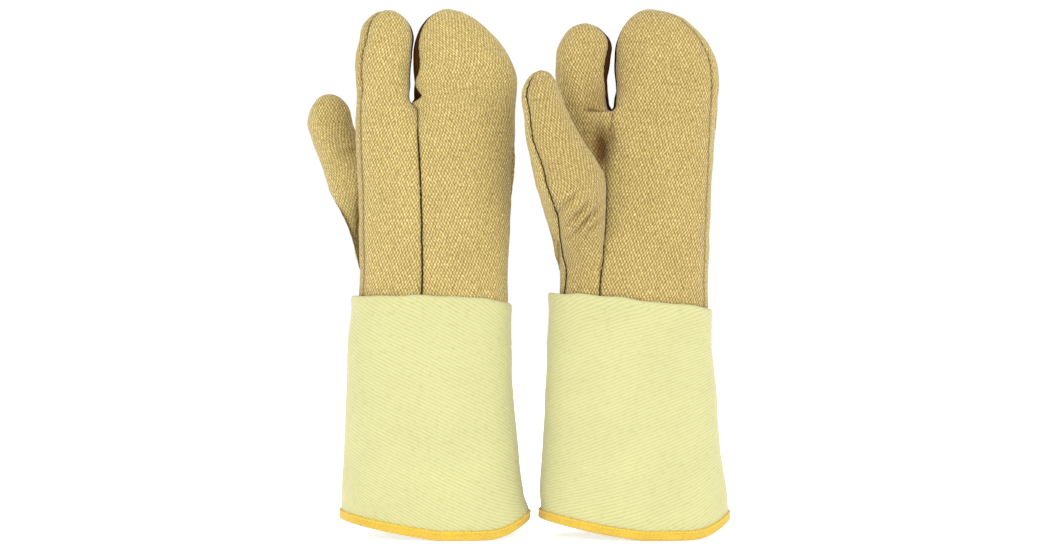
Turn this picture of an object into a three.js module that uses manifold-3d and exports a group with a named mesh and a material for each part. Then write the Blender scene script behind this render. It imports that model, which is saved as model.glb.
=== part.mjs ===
// A pair of padded one-finger mittens with long gauntlets, for handling very cold vessels.
// Millimetres, +Z up. The gloves stand side by side on their hems, fingers up. Each glove is
// first shaped as a left-hand glove: palm towards -Y, thumb towards -X, its own axis at x = 0.
// The right-hand glove is the mirror image of it, so its back faces -Y.

import * as THREE from 'three';
import { mergeVertices } from 'three/addons/utils/BufferGeometryUtils.js';
import Module from 'manifold-3d';

const wasm = await Module();
wasm.setup();

// Heights above the table
const BINDING_HEIGHT = 9;
const CUFF_FOLD_BOTTOM = 198;
const CUFF_TOP = 208;
const HAND_BOTTOM = 234;
const THUMB_HOLE = 300;
const THUMB_START = 324;
const HAND_TOP = 366;
const DIGIT_START = 394;
const MITT_WIDEST = 404;
const INDEX_WIDEST = 410;
const MITT_TIP = 457;
const INDEX_DOME = 22;
const THUMB_DOME = 26;
const MITT_TIP_SHIFT = -13;

// Layers
const CLOTH = 2.6;
const WADDING = 5;
const TWILL = 2;
const CUFF_LINING = 1.8;
const BINDING_PROUD = 1.2;
const FOLD_PROUD = 0.8;
const GAP = 0.3;

// Plan shape of the pair
const AXIS_SPACING = 173;
const PAIR_CENTRE = 12.1835;
const ROUNDNESS = 2.3;
const AROUND = 24;
const AROUND_DIGIT = 20;

// How far the hem lifts off the table at its two ends, and how much of it stays flat
const HEM_RISE = 9;
const HEM_FLAT_THUMB_SIDE = 0.45;
const HEM_FLAT_OUTER_SIDE = 0.55;

// Seams between the panels
const BACK_SEAM_TOP = -18;
const BACK_SEAM_BOTTOM = -11;
const PALM_SEAM = -27;
const SIDE_STRIP_WIDTH = 9;

const GLOVES = [
  { name: 'right', x: -AXIS_SPACING / 2, palm: 1, indexTip: 455, thumbTip: 386, thumbLean: 7 },
  { name: 'left', x: AXIS_SPACING / 2, palm: -1, indexTip: 443, thumbTip: 404, thumbLean: 0 },
];

// Materials
const plain = (color, roughness) => new THREE.MeshStandardMaterial({ color, roughness, metalness: 0 });
const MATERIALS = {
  coarseCloth: plain(0xcfb872, 0.95),
  foldCloth: plain(0xc4aa62, 0.95),
  felt: plain(0xd9d2bd, 1),
  twill: plain(0xecea9f, 0.9),
  twillLining: plain(0xe3dfa8, 0.9),
  binding: plain(0xefcc4d, 0.85),
};

// One horizontal section of a glove: an oval about (x, y) at height z
function ring(z, x, y, halfWidth, halfDepth, rise = 0) {
  return { z, x, y, halfWidth, halfDepth, rise };
}

// How much a hem lifts at a place across it, from -1 at the thumb side to 1
function lift(across, rise) {
  const flat = across < 0 ? HEM_FLAT_THUMB_SIDE : HEM_FLAT_OUTER_SIDE;
  const past = Math.max(0, (Math.abs(across) - flat) / (1 - flat));
  return rise * past ** 2;
}

function shrunk(rings, by) {
  return rings.map((r) => ({ ...r, halfWidth: r.halfWidth - by, halfDepth: r.halfDepth - by }));
}

// The rings carried straight on past an open end, so that a cutter runs out through it
function stretched(rings, below, above) {
  const first = rings[0];
  const last = rings[rings.length - 1];
  const under = below > 0 ? [{ ...first, z: first.z - below }] : [];
  const over = above > 0 ? [{ ...last, z: last.z + above }] : [];
  return [...under, ...rings, ...over];
}

// The points of every ring, one ring after another
function ringPoints(rings, around) {
  const points = [];
  for (const r of rings) {
    for (let i = 0; i < around; i += 1) {
      const angle = (2 * Math.PI * i) / around;
      const c = Math.cos(angle);
      const s = Math.sin(angle);
      const across = Math.sign(c) * Math.abs(c) ** (2 / ROUNDNESS);
      const deep = Math.sign(s) * Math.abs(s) ** (2 / ROUNDNESS);
      const height = r.z + lift(across, r.rise);
      points.push(r.x + r.halfWidth * across, r.y + r.halfDepth * deep, height);
    }
  }
  return points;
}

// Faces that join a ring to another one, by the numbers of their first points
function band(low, high, around) {
  const faces = [];
  for (let i = 0; i < around; i += 1) {
    const j = (i + 1) % around;
    faces.push(low + i, low + j, high + j, low + i, high + j, high + i);
  }
  return faces;
}

function closedSolid(points, faces) {
  const geometry = new THREE.BufferGeometry();
  geometry.setAttribute('position', new THREE.Float32BufferAttribute(points, 3));
  geometry.setIndex(faces);
  return toSolid(geometry);
}

// A closed solid through the rings, flat at both ends
function loft(rings, around) {
  const faces = [];
  const top = (rings.length - 1) * around;
  for (let low = 0; low < top; low += around) {
    faces.push(...band(low, low + around, around));
  }
  for (let i = 1; i + 1 < around; i += 1) {
    faces.push(0, i + 1, i);
    faces.push(top, top + i, top + i + 1);
  }
  return closedSolid(ringPoints(rings, around), faces);
}

// A tube whose outside is the rings shrunk by `inside`, open at both ends
function tube(rings, inside, thickness, around) {
  const outer = shrunk(rings, inside);
  const inner = shrunk(rings, inside + thickness).reverse();
  const loop = [...outer, ...inner];
  const faces = loop.flatMap((r, k) => band(k * around, ((k + 1) % loop.length) * around, around));
  return closedSolid(ringPoints(loop, around), faces);
}

function toSolid(geometry) {
  const bare = geometry.clone();
  bare.deleteAttribute('normal');
  bare.deleteAttribute('uv');
  const merged = mergeVertices(bare, 1e-4);
  const mesh = new wasm.Mesh({
    numProp: 3,
    vertProperties: new Float32Array(merged.attributes.position.array),
    triVerts: new Uint32Array(merged.index.array),
  });
  return new wasm.Manifold(mesh);
}

function toGeometry(solid) {
  const mesh = solid.getMesh();
  const geometry = new THREE.BufferGeometry();
  geometry.setAttribute('position', new THREE.BufferAttribute(mesh.vertProperties, 3));
  geometry.setIndex(new THREE.BufferAttribute(mesh.triVerts, 1));
  return geometry;
}

// A box between two corners, used to cut shells into panels
function block(from, to) {
  const size = new THREE.Vector3(...to).sub(new THREE.Vector3(...from));
  const geometry = new THREE.BoxGeometry(size.x, size.y, size.z);
  geometry.translate(from[0] + size.x / 2, from[1] + size.y / 2, from[2] + size.z / 2);
  return toSolid(geometry);
}

const FAR = 200;
const leftOf = (x) => block([-FAR, -FAR, -FAR], [x - GAP / 2, FAR, 3 * FAR]);
const rightOf = (x) => block([x + GAP / 2, -FAR, -FAR], [FAR, FAR, 3 * FAR]);
const palmSide = (y = 0) => block([-FAR, -FAR, -FAR], [FAR, y - GAP / 2, 3 * FAR]);
const backSide = (y = 0) => block([-FAR, y + GAP / 2, -FAR], [FAR, FAR, 3 * FAR]);

// The space on the thumb side of the slanting seam down the back of the hand
function besideBackSeam() {
  const outline = new THREE.Shape();
  outline.moveTo(-FAR, HAND_BOTTOM);
  outline.lineTo(BACK_SEAM_BOTTOM, HAND_BOTTOM);
  outline.lineTo(BACK_SEAM_TOP, HAND_TOP);
  outline.lineTo(-FAR, HAND_TOP);
  const geometry = new THREE.ExtrudeGeometry(outline, { depth: FAR, bevelEnabled: false });
  geometry.rotateX(Math.PI / 2);
  geometry.translate(0, FAR, 0);
  return toSolid(geometry);
}

// The rings of a finger end: a straight stem, then a rounded top that may lean sideways
function stall(stem, topHeight, tip, tipShift, inside) {
  const root = stem[stem.length - 1];
  const height = tip - inside - topHeight;
  const rings = shrunk(stem, inside);
  const angles = [30, 56, 77];
  const reach = Math.sin(THREE.MathUtils.degToRad(angles[angles.length - 1]));
  for (const degrees of angles) {
    const angle = THREE.MathUtils.degToRad(degrees);
    const up = Math.sin(angle) / reach;
    const wide = Math.cos(angle) ** 0.8;
    rings.push(ring(
      topHeight + height * up,
      root.x + tipShift * up ** 2,
      root.y,
      (root.halfWidth - inside) * wide,
      (root.halfDepth - inside) * wide,
    ));
  }
  return rings;
}

// A hollow finger end, open at the bottom only
function hollowStall(stem, topHeight, tip, tipShift, inside, thickness) {
  const outer = loft(stall(stem, topHeight, tip, tipShift, inside), AROUND_DIGIT);
  const bore = stall(stem, topHeight, tip, tipShift, inside + thickness);
  return outer.subtract(loft(stretched(bore, 1, 0), AROUND_DIGIT));
}

const LINER_INSET = CLOTH + GAP;
const FULL_WALL = CLOTH + GAP + WADDING;

// ---- Gauntlet: twill cone, its lining, the folded top edge and the bias binding ----

const GAUNTLET = [
  ring(BINDING_HEIGHT, -0.5, 0, 80.8, 49, HEM_RISE),
  ring(72, -2.5, 0, 77, 45),
  ring(140, -3.5, 0, 72, 40),
  ring(CUFF_TOP, -3.8, 0, 66.8, 36),
];

function gauntletRings(bottom, top) {
  const at = (z) => {
    const i = Math.max(1, GAUNTLET.findIndex((r) => r.z >= z));
    const [low, high] = [GAUNTLET[i - 1], GAUNTLET[i]];
    const t = (z - low.z) / (high.z - low.z);
    const mix = (key) => low[key] + t * (high[key] - low[key]);
    return ring(z, mix('x'), mix('y'), mix('halfWidth'), mix('halfDepth'), mix('rise'));
  };
  const between = GAUNTLET.filter((r) => r.z > bottom && r.z < top);
  return [at(bottom), ...between, at(top)];
}

function hemRings(proud) {
  const hem = GAUNTLET[0];
  const wide = hem.halfWidth + proud;
  const deep = hem.halfDepth + proud;
  return [
    ring(0, hem.x, hem.y, wide, deep, HEM_RISE),
    ring(BINDING_HEIGHT - GAP, hem.x, hem.y, wide, deep, HEM_RISE),
  ];
}

function gauntletPieces() {
  const liningInset = TWILL + GAP;
  const cone = gauntletRings(BINDING_HEIGHT + GAP, CUFF_FOLD_BOTTOM);
  const foldRings = gauntletRings(CUFF_FOLD_BOTTOM + GAP, CUFF_TOP);
  const hemWall = BINDING_PROUD * 2 + liningInset + CUFF_LINING;
  return {
    hem_binding: [tube(hemRings(BINDING_PROUD), 0, hemWall, AROUND), 'binding'],
    gauntlet_shell: [tube(cone, 0, TWILL, AROUND), 'twill'],
    gauntlet_lining: [tube(cone, liningInset, CUFF_LINING, AROUND), 'twillLining'],
    cuff_fold: [tube(foldRings, -FOLD_PROUD, TWILL * 2 + FOLD_PROUD, AROUND), 'twill'],
  };
}

// ---- Hand: four cloth panels round a felt lining, with the root of the thumb ----

const HAND = [
  ring(HAND_BOTTOM, -0.5, 0, 64.3, 31),
  ring(290, -0.5, 0, 66, 30),
  ring(HAND_TOP, 0, 0, 69, 28),
];

const THUMB_ROOT = [
  ring(238, -42, -12, 22, 14),
  ring(272, -50, -28, 26.5, 19),
  ring(THUMB_HOLE, -54, -45, 28.5, 21),
];

function handSolid(inside, beyond) {
  const body = loft(stretched(shrunk(HAND, inside), beyond, beyond), AROUND);
  const root = loft(stretched(shrunk(THUMB_ROOT, inside), 0, beyond), AROUND_DIGIT);
  return body.add(root);
}

function handPieces() {
  const shell = handSolid(0, 0).subtract(handSolid(CLOTH, 1));
  const felt = handSolid(LINER_INSET, 0).subtract(handSolid(FULL_WALL, 1));
  const seamSide = besideBackSeam();
  const halfGap = GAP / 2;
  const back = shell.intersect(backSide());
  const palm = shell.intersect(palmSide());
  return {
    back_index_panel: [back.intersect(seamSide.translate([-halfGap, 0, 0])), 'coarseCloth'],
    back_mitt_panel: [back.subtract(seamSide.translate([halfGap, 0, 0])), 'coarseCloth'],
    palm_panel: [palm.intersect(rightOf(PALM_SEAM)), 'coarseCloth'],
    thumb_base_panel: [palm.intersect(leftOf(PALM_SEAM)), 'coarseCloth'],
    hand_lining: [felt, 'felt'],
  };
}

// ---- Folds: the stretch of cloth and felt that creases at each joint ----

const WRIST = [
  ring(CUFF_TOP + GAP, -1.5, 0, 64.5, 33),
  ring((CUFF_TOP + HAND_BOTTOM) / 2, -1, 0, 63.6, 31.5),
  ring(HAND_BOTTOM - GAP, -0.5, 0, 64.3, 31),
];
const INDEX_KNUCKLE = [
  ring(HAND_TOP + GAP, -45, 0, 23, 23.5),
  ring(DIGIT_START - GAP, -45.6, 0, 22.3, 20.5),
];
const MITT_KNUCKLE = [
  ring(HAND_TOP + GAP, 25.8, 0, 43.8, 26.5),
  ring(DIGIT_START - GAP, 27.2, 0, 44, 24.5),
];

// ---- Index stall, three-finger mitt and thumb ----

function indexStem() {
  return [ring(DIGIT_START, -45.6, 0, 22.3, 20.5), ring(INDEX_WIDEST, -44.9, 0, 22.9, 19.6)];
}

function mittStem() {
  return [ring(DIGIT_START, 27.2, 0, 44, 24.5), ring(MITT_WIDEST, 26.6, 0, 44.4, 23.8)];
}

// The thumb's sections lean outwards from its root by the glove's own angle
function thumbRings(glove, sections) {
  const slope = Math.tan(THREE.MathUtils.degToRad(glove.thumbLean));
  return sections.map(([z, x, y, halfWidth, halfDepth]) => (
    ring(z, x - (z - THUMB_HOLE) * slope, y, halfWidth, halfDepth)
  ));
}

function thumbFoldRings(glove) {
  return thumbRings(glove, [
    [THUMB_HOLE + GAP, -54, -45, 28.5, 21],
    [THUMB_START - GAP, -60, -48, 27, 19.5],
  ]);
}

function thumbStem(glove) {
  const top = glove.thumbTip - THUMB_DOME;
  const narrowing = (THUMB_START + top) / 2;
  return thumbRings(glove, [
    [THUMB_START, -60, -48, 27, 19.5],
    [narrowing, -70, -49, 23.5, 18.8],
    [top, -79, -49, 19.5, 18.2],
  ]);
}

function stallPieces(name, stem, topHeight, tip, tipShift, stripAtLeft, stripEdge) {
  const shell = hollowStall(stem, topHeight, tip, tipShift, 0, CLOTH);
  const felt = hollowStall(stem, topHeight, tip, tipShift, LINER_INSET, WADDING);
  const pieces = { [`${name}_lining`]: [felt, 'felt'] };
  let rest = shell;
  if (stripEdge !== null) {
    const strip = stripAtLeft ? leftOf(stripEdge) : rightOf(stripEdge);
    const main = stripAtLeft ? rightOf(stripEdge) : leftOf(stripEdge);
    pieces[`${name}_side_strip`] = [shell.intersect(strip), 'coarseCloth'];
    rest = shell.intersect(main);
  }
  pieces[`${name}_back_panel`] = [rest.intersect(backSide(stem[0].y)), 'coarseCloth'];
  pieces[`${name}_palm_panel`] = [rest.intersect(palmSide(stem[0].y)), 'coarseCloth'];
  return pieces;
}

function digitPieces(glove) {
  const index = indexStem();
  const mitt = mittStem();
  const thumb = thumbStem(glove);
  const indexRight = index[0].x + index[0].halfWidth;
  const mittLeft = mitt[0].x - mitt[0].halfWidth;
  return {
    ...stallPieces(
      'index', index, glove.indexTip - INDEX_DOME, glove.indexTip, 0, false, indexRight - SIDE_STRIP_WIDTH),
    ...stallPieces('mitt', mitt, MITT_WIDEST, MITT_TIP, MITT_TIP_SHIFT, true, mittLeft + SIDE_STRIP_WIDTH),
    ...stallPieces('thumb', thumb, glove.thumbTip - THUMB_DOME, glove.thumbTip, 0, false, null),
  };
}

function foldPieces(glove) {
  return {
    wrist_fold: [tube(WRIST, 0, FULL_WALL - 2, AROUND), 'foldCloth'],
    index_knuckle_fold: [tube(INDEX_KNUCKLE, 0, FULL_WALL - 2, AROUND_DIGIT), 'foldCloth'],
    mitt_knuckle_fold: [tube(MITT_KNUCKLE, 0, FULL_WALL - 2, AROUND_DIGIT), 'foldCloth'],
    thumb_root_fold: [tube(thumbFoldRings(glove), 0, FULL_WALL - 2, AROUND_DIGIT), 'foldCloth'],
  };
}

// ---- The pair ----

const pair = new THREE.Group();
for (const glove of GLOVES) {
  const pieces = { ...gauntletPieces(), ...foldPieces(glove), ...handPieces(), ...digitPieces(glove) };
  const group = new THREE.Group();
  group.position.x = glove.x + PAIR_CENTRE;
  group.scale.y = -glove.palm;
  for (const [name, [solid, material]] of Object.entries(pieces)) {
    const mesh = new THREE.Mesh(toGeometry(solid), MATERIALS[material]);
    mesh.name = `${glove.name}_${name}`;
    group.add(mesh);
  }
  pair.add(group);
}

export default pair;
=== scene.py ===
"""A pair of cryogenic gloves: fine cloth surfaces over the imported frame. Metres, +Z up.

Each glove is worked out as a left-hand glove about its own axis, palm towards -Y and thumb
towards -X, then moved to its place. The right-hand glove is mirrored in Y on the way.
"""

import copy
import math

import bpy
import numpy as np
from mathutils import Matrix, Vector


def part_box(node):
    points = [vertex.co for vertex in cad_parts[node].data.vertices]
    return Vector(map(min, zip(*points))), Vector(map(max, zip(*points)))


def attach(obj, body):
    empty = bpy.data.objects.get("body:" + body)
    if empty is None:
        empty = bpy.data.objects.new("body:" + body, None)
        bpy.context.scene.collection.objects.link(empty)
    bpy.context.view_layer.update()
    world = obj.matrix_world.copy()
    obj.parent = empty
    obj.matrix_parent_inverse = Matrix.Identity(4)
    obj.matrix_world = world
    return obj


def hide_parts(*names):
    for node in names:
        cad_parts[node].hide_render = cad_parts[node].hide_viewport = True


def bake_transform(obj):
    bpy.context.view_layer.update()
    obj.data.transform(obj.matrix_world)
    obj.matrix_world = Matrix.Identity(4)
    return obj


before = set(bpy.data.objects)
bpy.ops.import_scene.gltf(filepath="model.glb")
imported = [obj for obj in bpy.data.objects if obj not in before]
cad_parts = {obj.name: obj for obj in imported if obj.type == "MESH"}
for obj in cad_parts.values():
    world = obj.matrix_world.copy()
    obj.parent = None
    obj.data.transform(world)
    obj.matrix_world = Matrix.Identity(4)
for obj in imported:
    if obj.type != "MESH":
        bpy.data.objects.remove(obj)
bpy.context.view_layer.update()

MM = 0.001

# ---- Driving dimensions ----

ROW_STEP = 1.5 * MM
COLUMN_STEP = 1.5 * MM
SAMPLES = 90  # points along a row's line before they are spaced evenly
ROUNDNESS = 2.3
DOME = 27 * MM  # length of the index's and the thumb's rounded end
SEAM_DIP = 2.3 * MM
SHALLOW_DIP = 1.1 * MM  # above the crotch
SEAM_REACH = 2.6 * MM
NARROW = 16 * MM  # a panel narrower than this has shallower seams
FLANGE = 3.0 * MM
FELT_DEPTH = 5.5 * MM
TUCK = 20 * MM  # how far the hand's cloth reaches down inside the cuff
THREAD_START = 0.19  # hidden by the cuff's fold
HAND_SPLIT = 0.300  # no joint bends the hand at this height, nor the thumb at the next
THUMB_SPLIT = 0.284
EDGE_STRIP = 15.0 * MM  # from the outer edge to its seam, towards the back for the index
STRIP_START = 12 * MM  # below the crotch
SCALLOP = 6.4 * MM  # one pull of the stitches at a border
STITCH = 5.2 * MM
SIDE_STRIP = 9.0 * MM
YARN_ACROSS = 1.375 * MM
YARN_UP = 2.5 * MM
TWILL_PITCH = 3.4 * MM
TWILL_SLOPES = {"right": 0.50, "left": 0.44}


# ---- Small tools ----

def smoothstep(x):
    x = np.clip(x, 0, 1)
    return x * x * (3 - 2 * x)


def ramp(distance, length):
    """A soft climb from 0 to 1 over a length."""
    return smoothstep(distance / length)


def bell(distance, width):
    """A soft hump, 1 at its middle."""
    return np.exp(-(distance / width) ** 2)


def blur(values, steps):
    """Values on an even grid, smoothed by a bell curve steps wide."""
    reach = int(3 * steps) + 1
    weights = np.exp(-0.5 * (np.arange(-reach, reach + 1) / steps) ** 2)
    padded = np.pad(values, reach, mode="edge")
    return np.convolve(padded, weights / weights.sum(), "valid")


def ripple(points, size, seed, waves=14):
    """A smooth, repeatable unevenness from about -1 to 1, with features about size across."""
    random = np.random.default_rng(seed)
    total = np.zeros(points.shape[:-1])
    for _ in range(waves):
        direction = random.normal(size=3)
        direction /= np.linalg.norm(direction)
        rate = 2 * math.pi / (size * random.uniform(0.7, 1.8))
        total += np.sin(points @ direction * rate + random.uniform(0, 2 * math.pi))
    return total / math.sqrt(waves) / 1.3


def grid_normals(grid):
    """Unit normals of a grid of points, rows by columns."""
    along = np.gradient(grid, axis=1)
    up = np.gradient(grid, axis=0)
    normal = np.cross(along, up)
    length = np.linalg.norm(normal, axis=-1, keepdims=True)
    return normal / np.maximum(length, 1e-12)


def arc_lengths(points):
    """Distance along a line of points from its first one."""
    steps = np.linalg.norm(np.diff(points, axis=0), axis=1)
    return np.concatenate([[0], np.cumsum(steps)])


def along_line(points, lengths, at):
    """Points at the distances `at` along a line."""
    return np.stack([np.interp(at, lengths, points[:, k]) for k in range(points.shape[1])], -1)


# ---- The frame's sections ----

HEIGHTS = np.arange(0, 0.4601, MM)


class Glove:
    """One glove's place, sides and sections, all read from the frame."""

    def __init__(self, side):
        self.side = side
        low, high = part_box(f"{side}_hem_binding")
        self.axis = (low.x + high.x) / 2 + 0.5 * MM
        self.flip = 1 if side == "left" else -1
        self.rise = high.z - low.z - 8.7 * MM
        self.cuff_bottom, self.cuff_top = self.span("cuff_fold")
        self.hand_low, self.hand_top = self.span("back_mitt_panel")
        self.digit_low = self.span("mitt_back_panel")[0]
        self.index_tip = self.span("index_palm_panel")[1]
        self.mitt_tip = self.span("mitt_palm_panel")[1]
        self.thumb_hole = self.span("thumb_root_fold")[0]
        self.thumb_low, self.thumb_tip = self.span("thumb_palm_panel")
        self.crotch = self.hand_top + (8 if side == "right" else 2) * MM
        self.wrist = ("gauntlet", "hand", self.cuff_top, self.hand_low)
        self.read_sections()

    def span(self, name):
        """Lowest and highest z of one of the glove's nodes."""
        low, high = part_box(f"{self.side}_{name}")
        return low.z, high.z

    def edges(self, names):
        """The ends of every edge of some nodes, in the glove's own frame."""
        found = []
        for name in names:
            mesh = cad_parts[f"{self.side}_{name}"].data
            points = np.array([v.co for v in mesh.vertices])
            points[:, 0] -= self.axis
            points[:, 1] *= self.flip
            ends = np.array([e.vertices for e in mesh.edges])
            found.append(points[ends])
        return np.concatenate(found)

    def extents(self, stretches):
        """Lowest and highest x and y at every height, from lists of (nodes, lowest z, highest z)."""
        known, values = [], []
        for names, low, high in stretches:
            ends = self.edges(names)
            a, b = ends[:, 0], ends[:, 1]
            rise = b[:, 2] - a[:, 2]
            for z in np.arange(low + 0.6 * MM, high - 0.5 * MM, MM):
                hit = (np.minimum(a[:, 2], b[:, 2]) < z) & (np.maximum(a[:, 2], b[:, 2]) > z)
                t = ((z - a[hit, 2]) / rise[hit])[:, None]
                p = a[hit] + t * (b[hit] - a[hit])
                known.append(z)
                values.append([p[:, 0].min(), p[:, 0].max(), p[:, 1].min(), p[:, 1].max()])
        order = np.argsort(known)
        known, values = np.array(known)[order], np.array(values)[order]
        return [blur(np.interp(HEIGHTS, known, values[:, k]), 4) for k in range(4)]

    def digit_sections(self, name, highest):
        fold = ([f"{name}_knuckle_fold"], self.hand_top, self.digit_low)
        panels = [f"{name}_back_panel", f"{name}_palm_panel", f"{name}_side_strip"]
        return self.extents([fold, (panels, self.digit_low, highest)])

    def read_sections(self):
        self.index = self.digit_sections("index", self.index_tip - 26 * MM)
        self.mitt = self.digit_sections("mitt", self.digit_low + 14 * MM)
        hand = self.extents([
            (["wrist_fold"], self.cuff_top, self.hand_low),
            (["back_index_panel", "back_mitt_panel"], self.hand_low, self.hand_top)])
        self.thumb = self.extents([
            (["thumb_root_fold"], self.thumb_hole, self.thumb_low),
            (["thumb_back_panel", "thumb_palm_panel"], self.thumb_low, self.thumb_tip - 26 * MM)])
        self.gauntlet = self.extents([
            (["gauntlet_shell"], 20 * MM, self.cuff_bottom),
            (["cuff_fold"], self.cuff_bottom, self.cuff_top)])
        mixed = ramp(HEIGHTS - self.hand_top + 8 * MM, 16 * MM)
        self.outer_left = blur(hand[0] * (1 - mixed) + self.index[0] * mixed, 5)
        self.outer_right = blur(hand[1] * (1 - mixed) + self.mitt[1] * mixed, 5)
        self.hand_depth = hand[3]
        seam = self.extents([(["back_index_panel"], self.hand_low, self.hand_top)])
        self.back_seam = seam[1] + (1 + 2.4 * ramp(HEIGHTS - 0.21, 0.1)) * MM
        palm = self.extents([(["palm_panel"], self.hand_low, self.hand_top)])
        self.middle = -20.3 * MM
        near = ramp(HEIGHTS - 0.325, self.crotch - 0.325)
        self.palm_seam = palm[0] * (1 - near) + self.middle * near
        self.palm_seam -= 5.4 * MM * (1 - ramp(HEIGHTS - 0.200, 85 * MM))

    def at(self, profile, z):
        return np.interp(z, HEIGHTS, profile)

    def place(self, points):
        """Points of the glove's own frame, moved into the part's frame."""
        placed = np.array(points, float)
        placed[..., 0] += self.axis
        placed[..., 1] *= self.flip
        return placed

    def hand_surface(self, x, z):
        """Half the hand's depth at x, from the rounded box of the whole hand."""
        left, right = self.at(self.outer_left, z), self.at(self.outer_right, z)
        return self.at(self.hand_depth, z) * round_profile((x - left) / (right - left))


def round_profile(q, power=ROUNDNESS):
    """Height of a rounded hump over 0 to 1, from 0 at its ends to 1 in its middle."""
    return np.clip(1 - np.abs(2 * q - 1) ** power, 0, 1) ** (1 / power)


# ---- Grids of points for each panel, one row for each height ----

class Panel:
    """A grid of points with the weave's own coordinates, both rows by columns."""

    def __init__(self, lines, heights, width, step=COLUMN_STEP):
        count = max(4, int(math.ceil(width / step)) + 1)
        rows, across = [], []
        for line in lines:
            lengths = arc_lengths(line)
            at = np.linspace(0, lengths[-1], count)
            rows.append(along_line(line, lengths, at))
            across.append(at - lengths[-1] / 2)
        self.grid = np.array(rows)
        self.heights = np.array(heights)
        middle = self.grid[:, count // 2]
        up = arc_lengths(middle) + heights[0]
        self.weave = np.stack([np.array(across), np.repeat(up[:, None], count, 1)], -1)
        # How much shade is painted on each point, from 0 to 1.
        self.painted_shade = np.zeros(self.grid.shape[:2])

    def cut(self, low, high):
        """The same panel between two row numbers, both kept."""
        part = copy.copy(self)
        rows = slice(low, high + 1)
        part.grid, part.heights = self.grid[rows], self.heights[rows]
        part.weave, part.painted_shade = self.weave[rows], self.painted_shade[rows]
        return part

    def outward(self, centre):
        """Normals that point away from the column's middle line."""
        normals = grid_normals(self.grid)
        away = self.grid - centre[:, None, :]
        self.sign = -1 if (normals * away).sum() < 0 else 1
        normals *= self.sign
        normals[-2:] = (0, 0, 1)
        return normals

    def border_distance(self):
        """How far each point is from the first border, and from the last."""
        steps = np.linalg.norm(np.diff(self.grid, axis=1), axis=2)
        start = np.concatenate([np.zeros((len(steps), 1)), np.cumsum(steps, 1)], 1)
        return start, start[:, -1:] - start

    def puff(self, centre, dips, seed, crotch=0):
        """Sinks the borders into their seams, paints shade along them, and gives the cloth its
        slight unevenness.

        Below the crotch a seam sinks straight into the hand, so its two panels stay together.
        """
        normals = self.outward(centre)
        distances = self.border_distance()
        sinking = normals.copy()
        sinking[..., 0] *= ramp(self.heights - crotch, 12 * MM)[:, None]
        narrow = np.clip(distances[0][:, -1:] / NARROW, 0.12, 1)
        scallop = 1 + 0.18 * np.sin(self.heights * 2 * math.pi / SCALLOP)[:, None]
        for distance, dip in zip(distances, dips):
            dip = np.broadcast_to(dip, len(self.heights))[:, None]
            depth = dip * narrow * scallop * np.exp(-(distance / SEAM_REACH) ** 1.15)
            self.grid = self.grid - sinking * depth[..., None]
            # Painted shade along each seam, darkest at its border.
            self.painted_shade = np.maximum(self.painted_shade, 0.6 * bell(distance, 1.3 * MM))
        uneven = 0.6 * MM * ripple(self.grid, 42 * MM, seed)
        uneven += 0.3 * MM * ripple(self.grid, 15 * MM, seed + 1)
        self.grid = self.grid + normals * uneven[..., None]
        self.normals = normals

    def pull(self, rows, edge, by):
        """Moves one border, and the cloth near it less and less."""
        distance = self.border_distance()[0 if edge == 0 else 1][rows]
        weight = bell(distance, 5 * MM)
        self.grid[rows] += by[:, None] * weight[..., None]

    def border(self, edge):
        """A border's line of points and its normals."""
        return self.grid[:, edge], self.normals[:, edge]

    def flanged(self):
        """Adds a turned-in edge along both borders, as a seam allowance has."""
        width = self.border_distance()[0][:, -1]
        turned = (FLANGE * np.clip(width / NARROW, 0, 1))[:, None, None]
        first = self.grid[:, :1] - self.normals[:, :1] * turned
        last = self.grid[:, -1:] - self.normals[:, -1:] * turned
        self.grid = np.concatenate([first, self.grid, last], 1)
        side = np.array([FLANGE, 0])
        self.weave = np.concatenate(
            [self.weave[:, :1] - side, self.weave, self.weave[:, -1:] + side], 1)
        self.painted_shade = np.pad(self.painted_shade, ((0, 0), (1, 1)), mode="edge")


def weld(one, edge_one, two, edge_two, rows_one, rows_two):
    """Brings two panels' borders to the same line, on as many rows of each."""
    gap = two.grid[rows_two, edge_two] - one.grid[rows_one, edge_one]
    one.pull(rows_one, edge_one, gap / 2)
    two.pull(rows_two, edge_two, -gap / 2)


def top_rows(one, two, above=0):
    """The rows above a height that two panels share when both end at the same tip."""
    count = min(int((panel.heights > above).sum()) for panel in (one, two))
    return slice(len(one.heights) - count, None), slice(len(two.heights) - count, None)


def column_rows(bottom, tip, dome):
    """Heights up a column, and for each how far it is into the rounded end, from 0 to 1."""
    stem = np.arange(bottom, tip - dome - 0.6 * ROW_STEP, ROW_STEP)
    angles = np.linspace(0, math.radians(89.6), int(dome * 1.3 / ROW_STEP))
    heights = np.concatenate([stem, tip - dome + dome * np.sin(angles)])
    ends = np.concatenate([np.zeros(len(stem)), np.sin(angles)])
    return heights, ends


def across(count=70):
    """Places from 0 to 1 across a column, closer together towards both ends."""
    return (1 - np.cos(np.linspace(0, math.pi, count))) / 2


class Column:
    """Part of a glove from the cuff to a rounded tip, as rows of outlines in two halves."""

    def __init__(self, glove, tip, dome):
        self.glove, self.tip = glove, tip
        self.heights, self.ends = column_rows(glove.cuff_top - TUCK, tip, dome)
        self.outlines = [self.outline(z, end) for z, end in zip(self.heights, self.ends)]
        self.centre = np.array([np.concatenate(halves).mean(0) for halves in self.outlines])

    def row_of(self, z):
        return int(np.argmin(np.abs(self.heights - z)))


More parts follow.
